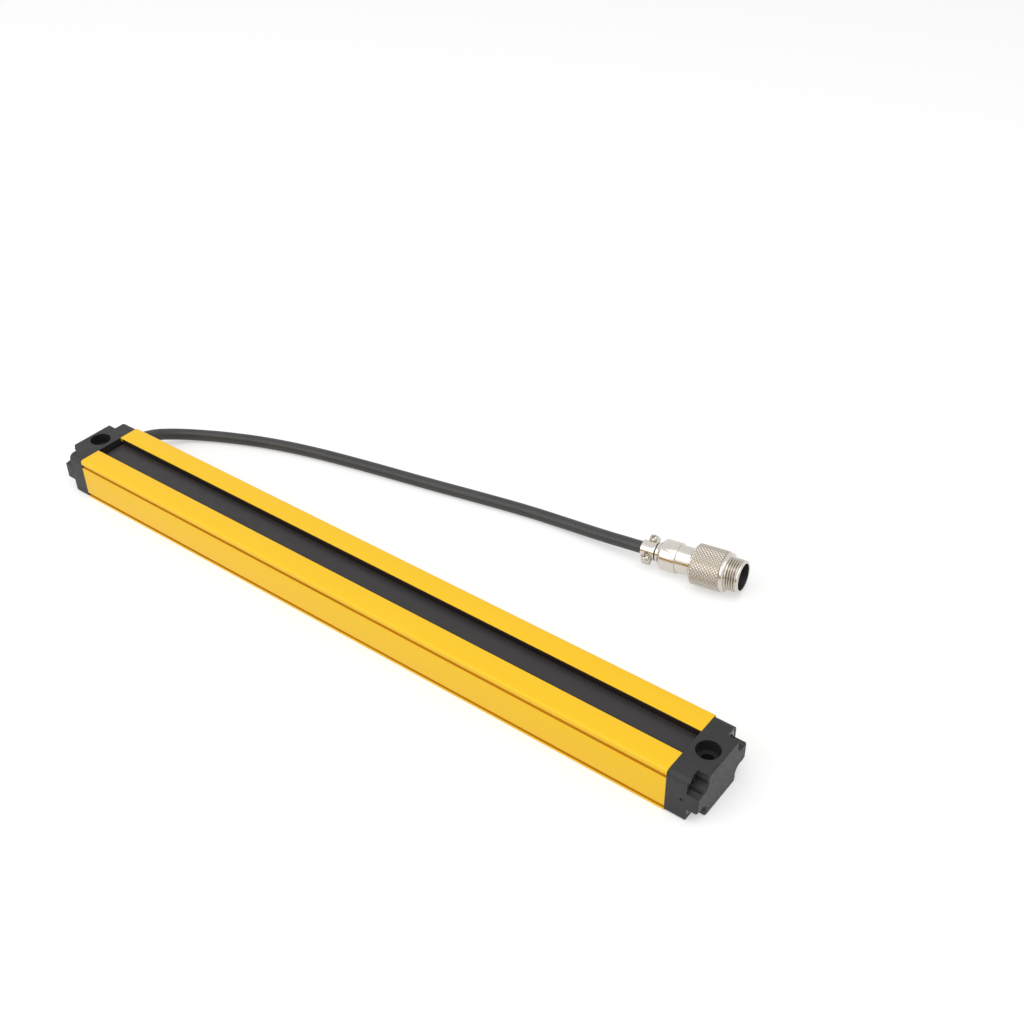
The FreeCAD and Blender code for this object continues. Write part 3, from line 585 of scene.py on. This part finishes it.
outside = np.concatenate([
    [(20.1, 5.15), (20.1, 6.5), (20.18, 6.66)],
    np.stack([np.linspace(20.75, 20.9, 3), np.array([7.3, 7.42, 7.45])], axis=1),
    np.stack([np.linspace(21.0, 31.6, 110), np.full(110, 7.45)], axis=1),
    [(31.68, 7.4), (31.72, 7.0), (31.8, 6.95), (31.88, 7.0), (31.94, 7.16), (32.0, 7.2), (32.5, 7.2), (32.9, 7.17)],
    [(33.15, 7.02), (33.32, 6.75), (33.4, 6.4), (33.42, 6.0)],
    np.stack([np.linspace(33.5, 37.9, 60), np.full(60, 6.0)], axis=1),
    [(38.1, 5.98), (38.4, 5.85), (38.56, 5.65), (38.6, 5.5), (38.6, 5.05), (38.5, 4.92), (38.4, 4.9)],
    [(27.05, 4.9), (27.0, 4.85), (27.0, 3.4), (25.0, 3.4), (25.0, 5.15)],
]) * mm
angle = np.linspace(0, 2 * np.pi, 360, endpoint=False)
station = outside[:, :1]
carved = knurled(station, angle) * (outside[:, 1:] > shell_radius - 0.01 * mm)
carved = carved + threaded(station, angle) * (np.abs(outside[:, 1:] - thread_radius) < 0.01 * mm)
reach = np.cos(angle)[:, None] * across + np.sin(angle)[:, None] * upward
shell_grid = connector_rear + station[:, :, None] * along + (outside[:, 1:] - carved)[:, :, None] * reach

# The cut depth is kept on the mesh, and darkens the bottoms of the knurl and thread as painted shade
nickel_groove_shade, nickel_groove_shade_tree, nickel_groove_shade_shader = finish("nickel_with_painted_groove_shade", srgb(208, 202, 194), 0.16, 1.0)
cut = nickel_groove_shade_tree.nodes.new("ShaderNodeAttribute")
cut.attribute_name = "cut_depth"
painted_groove_shade_ramp = nickel_groove_shade_tree.nodes.new("ShaderNodeValToRGB")
painted_groove_shade_ramp.color_ramp.elements[0].color = (*srgb(208, 202, 194), 1.0)
painted_groove_shade_ramp.color_ramp.elements[1].color = (*srgb(158, 149, 135), 1.0)
nickel_groove_shade_tree.links.new(cut.outputs["Fac"], painted_groove_shade_ramp.inputs["Fac"])
nickel_groove_shade_tree.links.new(painted_groove_shade_ramp.outputs["Color"], nickel_groove_shade_shader.inputs["Base Color"])
vary(nickel_groove_shade_tree, noise(nickel_groove_shade_tree, 380, 3), nickel_groove_shade_shader.inputs["Roughness"], 0.12, 0.22)
shell = piece("shell_plated", [skin(shell_grid, True, True)], nickel_groove_shade, 50.0)
cut_depth = shell.data.attributes.new("cut_depth", "FLOAT", "POINT")
cut_depth.data.foreach_set("value", np.clip(carved / knurl_depth, 0, 1).ravel())
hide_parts("coupling_shell")

# ---------------------------------------------------------------- contacts
# Four gold plated pins stand in a round black nylon insulator, pressed in at
# the bottom of the shell's mouth. The bore round them gets the insulator's black as painted shade.

insulator_profile = rounded([(27.0, 0.0, 0), (27.0, 4.85, 0.1), (31.0, 4.85, 0.2), (31.0, 0.0, 0)]) * mm
moulding, moulding_tree, moulding_shader = finish("insulator_nylon", srgb(30, 29, 28), 0.5)
vary(moulding_tree, noise(moulding_tree, 1200, 2), moulding_shader.inputs["Roughness"], 0.4, 0.6)
# The plated bore of the mouth is given the insulator's black: painted shade
shell.data.materials.append(moulding)
ring_of_face = np.arange(len(shell.data.polygons)) // len(angle)
painted_shade_bore_rows = (outside[:, 1] < 4.95 * mm) & (outside[:, 0] > 26.9 * mm)
shell.data.polygons.foreach_set("material_index", painted_shade_bore_rows[ring_of_face].astype(np.int32))
insulator = piece(
    "insulator_disc", [skin(turned(insulator_profile, connector_rear, along, across), True, True)], moulding,
)
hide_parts("connector_insulator")

gold, gold_tree, gold_shader = finish("pin_gold", srgb(232, 196, 118), 0.2, 1.0)
vary(gold_tree, noise(gold_tree, 1500, 2), gold_shader.inputs["Roughness"], 0.14, 0.28)
pin_profile = rounded([
    (25.8, 0.0, 0), (25.8, 0.5, 0.1), (26.5, 0.5, 0), (26.5, 0.8, 0.05), (27.0, 0.8, 0), (27.0, 0.5, 0),
    (33.3, 0.5, 0.2), (33.8, 0.25, 0.1), (33.8, 0.0, 0),
]) * mm
for number in range(4):
    turn = np.radians(45 + 90 * number)
    root = connector_rear + (np.cos(turn) * across + np.sin(turn) * upward) * 2.3 * mm
    pin = piece("pin_%d_gold" % (number + 1), [skin(turned(pin_profile, root, along, across, 32), True, True)], gold)
    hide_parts("contact_pin_%d" % (number + 1))

# ---------------------------------------------------------------- inside
# Behind the window a black carrier holds a lens over each infrared diode. The
# diodes sit on the circuit board, with the drive chips under it.

laminate, laminate_tree, laminate_shader = finish("board_laminate", srgb(20, 92, 52), 0.35)
tint(
    laminate_tree, noise(laminate_tree, 300, 3), laminate_shader.inputs["Base Color"],
    srgb(16, 82, 46), srgb(26, 104, 60),
)
carrier_moulding, carrier_tree, carrier_shader = finish("carrier_moulding", srgb(28, 28, 29), 0.6)
grain(carrier_tree, carrier_shader, noise(carrier_tree, 2400, 2), 0.02 * mm)
clear, clear_tree, clear_shader = finish("lens_acrylic", srgb(240, 243, 246), 0.05)
clear_shader.inputs["Transmission Weight"].default_value = 1.0
clear_shader.inputs["IOR"].default_value = 1.49
vary(clear_tree, noise(clear_tree, 800, 2), clear_shader.inputs["Roughness"], 0.03, 0.08)
epoxy, epoxy_tree, epoxy_shader = finish("diode_epoxy", srgb(52, 44, 78), 0.15)
tint(epoxy_tree, noise(epoxy_tree, 500, 2), epoxy_shader.inputs["Base Color"], srgb(44, 38, 68), srgb(62, 52, 92))
chip_body, chip_tree, chip_shader = finish("chip_epoxy", srgb(34, 34, 36), 0.55)
grain(chip_tree, chip_shader, noise(chip_tree, 3000, 2), 0.02 * mm)
header_nylon, header_tree, header_shader = finish("header_nylon", srgb(224, 220, 206), 0.5)
vary(header_tree, noise(header_tree, 900, 2), header_shader.inputs["Roughness"], 0.42, 0.58)
gasket_rubber, gasket_tree, gasket_shader = finish("gasket_rubber", srgb(30, 30, 30), 0.65)
grain(gasket_tree, gasket_shader, noise(gasket_tree, 2200, 2), 0.02 * mm)
insulation, insulation_tree, insulation_shader = finish("lead_insulation", srgb(58, 57, 58), 0.45)
vary(insulation_tree, noise(insulation_tree, 900, 2), insulation_shader.inputs["Roughness"], 0.38, 0.52)

inner_finish = {
    "circuit_board": laminate, "optics_carrier": carrier_moulding, "board_header": header_nylon,
    "end_gasket_left": gasket_rubber, "end_gasket_right": gasket_rubber, "lead_bundle": insulation,
}
for node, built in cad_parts.items():
    material = inner_finish.get(node)
    if node.startswith("lens_"):
        material = clear
    elif node.startswith("beam_diode_"):
        material = epoxy
    elif node.startswith("drive_chip_"):
        material = chip_body
    if material:
        built.material_slots[0].material = material

# ---------------------------------------------------------------- studio
# A white floor that keeps the object's shadow, an even white surround, and two
# large soft lamps, one overhead and one in front on the left.


def seen_directly(nodes, links):
    """1 for rays from the camera, a mirror or clear plastic, the largest of three flags, and 0 for the rest."""
    rays = nodes.new("ShaderNodeLightPath")
    largest = rays.outputs["Is Camera Ray"]
    for flag in ("Is Glossy Ray", "Is Transmission Ray"):
        larger = nodes.new("ShaderNodeMath")
        larger.operation = "MAXIMUM"
        links.new(largest, larger.inputs[0])
        links.new(rays.outputs[flag], larger.inputs[1])
        largest = larger.outputs[0]
    return largest


floor_mesh = bpy.data.meshes.new("floor")
floor_reach, floor_level = 4.0, -0.05 * mm
floor_mesh.from_pydata(
    [(x * floor_reach, y * floor_reach, floor_level) for x, y in ((-1, -1), (1, -1), (1, 1), (-1, 1))],
    [], [(0, 1, 2, 3)],
)
floor = bpy.data.objects.new("floor", floor_mesh)
bpy.context.scene.collection.objects.link(floor)

paper = bpy.data.materials.new("floor_paper")
paper.use_nodes = True
nodes, links = paper.node_tree.nodes, paper.node_tree.links
nodes.clear()
matt = nodes.new("ShaderNodeBsdfDiffuse")
matt.inputs["Color"].default_value = (0.7, 0.7, 0.7, 1.0)
glow = nodes.new("ShaderNodeEmission")
glow.inputs["Strength"].default_value = 0.42
both = nodes.new("ShaderNodeAddShader")
choose = nodes.new("ShaderNodeMixShader")
output = nodes.new("ShaderNodeOutputMaterial")
links.new(matt.outputs[0], both.inputs[0])
links.new(glow.outputs[0], both.inputs[1])
links.new(seen_directly(nodes, links), choose.inputs["Fac"])
links.new(matt.outputs[0], choose.inputs[1])
links.new(both.outputs[0], choose.inputs[2])
links.new(choose.outputs[0], output.inputs["Surface"])
floor.data.materials.append(paper)

world = bpy.data.worlds.new("surround")
bpy.context.scene.world = world
world.use_nodes = True
nodes, links = world.node_tree.nodes, world.node_tree.links
nodes.clear()
soft = nodes.new("ShaderNodeBackground")
soft.inputs["Strength"].default_value = 0.55
white = nodes.new("ShaderNodeBackground")
white.inputs["Strength"].default_value = 1.0
choose = nodes.new("ShaderNodeMixShader")
output = nodes.new("ShaderNodeOutputWorld")
soft.inputs["Color"].default_value = (1, 1, 1, 1)
white.inputs["Color"].default_value = (1, 1, 1, 1)
links.new(seen_directly(nodes, links), choose.inputs["Fac"])
links.new(soft.outputs[0], choose.inputs[1])
links.new(white.outputs[0], choose.inputs[2])
links.new(choose.outputs[0], output.inputs["Surface"])


def softbox(name, place, target, width, height, watts):
    """A rectangular lamp at a place, turned to face a target."""
    lamp = bpy.data.lights.new(name, "AREA")
    lamp.shape = "RECTANGLE"
    lamp.size = width
    lamp.size_y = height
    lamp.energy = watts
    back = np.array(place, dtype=float) - target
    back = back / np.linalg.norm(back)
    right = np.cross([0.0, 0.02, 1.0], back)
    right = right / np.linalg.norm(right)
    stand = np.eye(4)
    stand[:3, 0] = right
    stand[:3, 1] = np.cross(back, right)
    stand[:3, 2] = back
    stand[:3, 3] = place
    holder = bpy.data.objects.new(name, lamp)
    holder.matrix_world = Matrix(stand.tolist())
    bpy.context.scene.collection.objects.link(holder)


centre = np.array([0.0, 0.02, 0.0])
softbox("high", (0.3, -0.3, 1.4), centre, width=1.5, height=1.0, watts=7.6)
softbox("front", (-0.6, -1.1, 0.82), centre, width=1.3, height=1.1, watts=7.0)

bpy.context.scene.view_settings.view_transform = "Standard"
